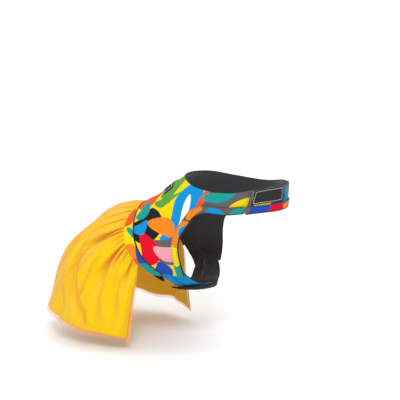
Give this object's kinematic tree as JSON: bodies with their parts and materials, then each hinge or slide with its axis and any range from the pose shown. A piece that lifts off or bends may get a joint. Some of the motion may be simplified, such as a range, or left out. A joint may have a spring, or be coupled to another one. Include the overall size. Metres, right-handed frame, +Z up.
{
  "type": "dog dress",
  "caption": "Worn dress for a small dog: printed back panel on neck and belly straps, blank labels, and a gathered satin skirt under a sheer veil.",
  "frame": {"origin": "the withers: the inside of the back panel on the dress's plane of symmetry, where it rests on the dog's back behind the neck", "axes": "+X towards the dog's head, +Y towards the dog's left, +Z up, for a sitting dog"},
  "size_m": [0.2574, 0.156, 0.1638],
  "materials": {
    "print": "printed cotton, many colours on yellow",
    "band_print": "printed cotton, mostly blue and grey",
    "hook_and_loop": "black hook and loop tape",
    "woven_label": "black woven label with a pale stitched border",
    "satin": "soft satin sheen",
    "organza": "sheer, soft sheen"
  },
  "bodies": {
    "root": {"back_panel": "print", "yoke": "print", "neck_strap_right": "print", "neck_strap_left": "print", "rear_band_right": "band_print", "rear_band_left": "band_print", "armhole_band_right": "band_print", "armhole_band_left": "band_print", "belly_strap_right": "band_print", "belly_strap_left": "band_print", "neck_fastener": "hook_and_loop", "belly_fastener": "hook_and_loop", "neck_label": "woven_label", "back_label": "woven_label", "skirt": "satin", "skirt_veil": "organza"}
  },
  "joints": []
}
